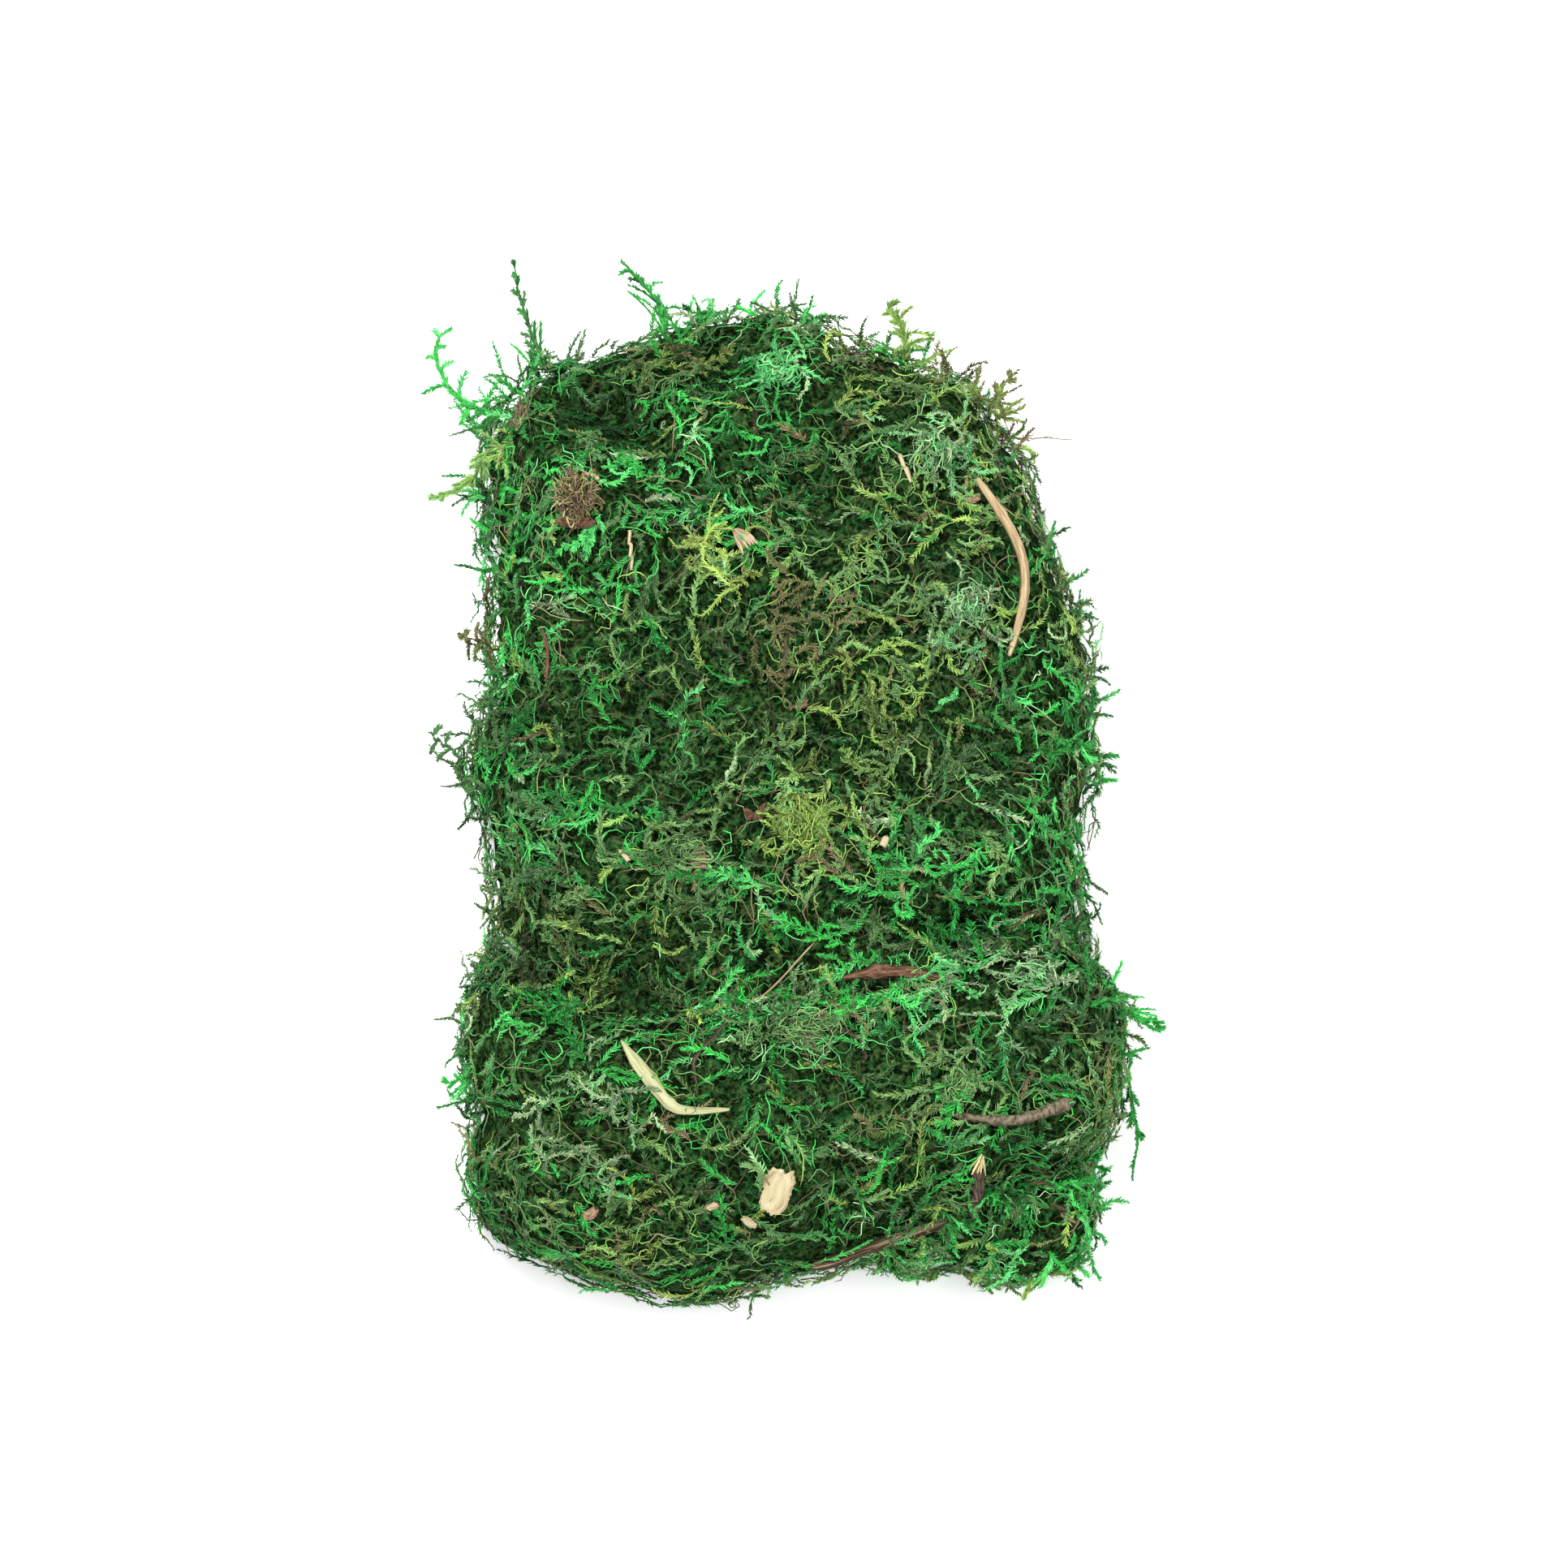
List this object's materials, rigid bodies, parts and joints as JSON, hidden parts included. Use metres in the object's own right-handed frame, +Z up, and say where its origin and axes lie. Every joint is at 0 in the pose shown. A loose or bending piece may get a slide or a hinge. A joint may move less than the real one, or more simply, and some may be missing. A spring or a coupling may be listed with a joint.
{
  "type": "moss clump",
  "caption": "Pressed block of loose dyed sheet moss with a folded lower end, a corner tuft, stray shoots and caught straws and twigs.",
  "frame": {"origin": "on the surface that the clump lies on, under the middle of its length and width", "axes": "+Y along the clump's length, from the folded end to the loose domed end; +X across it; +Z up from its flat underside"},
  "size_m": [0.1436, 0.2069, 0.0521],
  "materials": {
    "dyed_moss": "matte",
    "brown_moss": "matte",
    "pale_straw": "satin",
    "cream_wood": "matte",
    "grey_twig": "matte",
    "dark_bark": "matte",
    "red_bark": "matte",
    "seed_husk": "matte"
  },
  "bodies": {
    "root": {"upper_pad": "dyed_moss", "lower_fold": "dyed_moss", "corner_tuft": "dyed_moss", "hook_shoot": "dyed_moss", "tall_shoot": "dyed_moss", "plume_shoot": "dyed_moss", "thin_shoot": "dyed_moss", "seed_stem": "dyed_moss", "feather_shoot": "dyed_moss", "curled_shoot": "dyed_moss", "left_shoot": "dyed_moss", "low_left_shoot": "dyed_moss", "right_shoot": "dyed_moss", "hanging_shoot": "dyed_moss", "crown_shoot": "dyed_moss", "brown_moss_knot": "brown_moss", "straw_stem": "pale_straw", "short_straw": "pale_straw", "pale_thread": "pale_straw", "grass_blade": "cream_wood", "wood_chip": "cream_wood", "flat_straw": "cream_wood", "cream_stick": "cream_wood", "pale_chip": "cream_wood", "cream_chip": "cream_wood", "left_chip": "cream_wood", "knobbly_twig": "grey_twig", "bark_sliver": "grey_twig", "rootlet": "grey_twig", "split_stick": "dark_bark", "leaf_bud": "dark_bark", "bark_strip": "red_bark", "red_stem": "red_bark", "curled_scale": "red_bark", "bark_chip": "red_bark", "dark_flake": "red_bark", "seed_husk": "seed_husk", "pink_chip": "seed_husk", "low_chip": "seed_husk", "brown_chip": "seed_husk"}
  },
  "joints": []
}
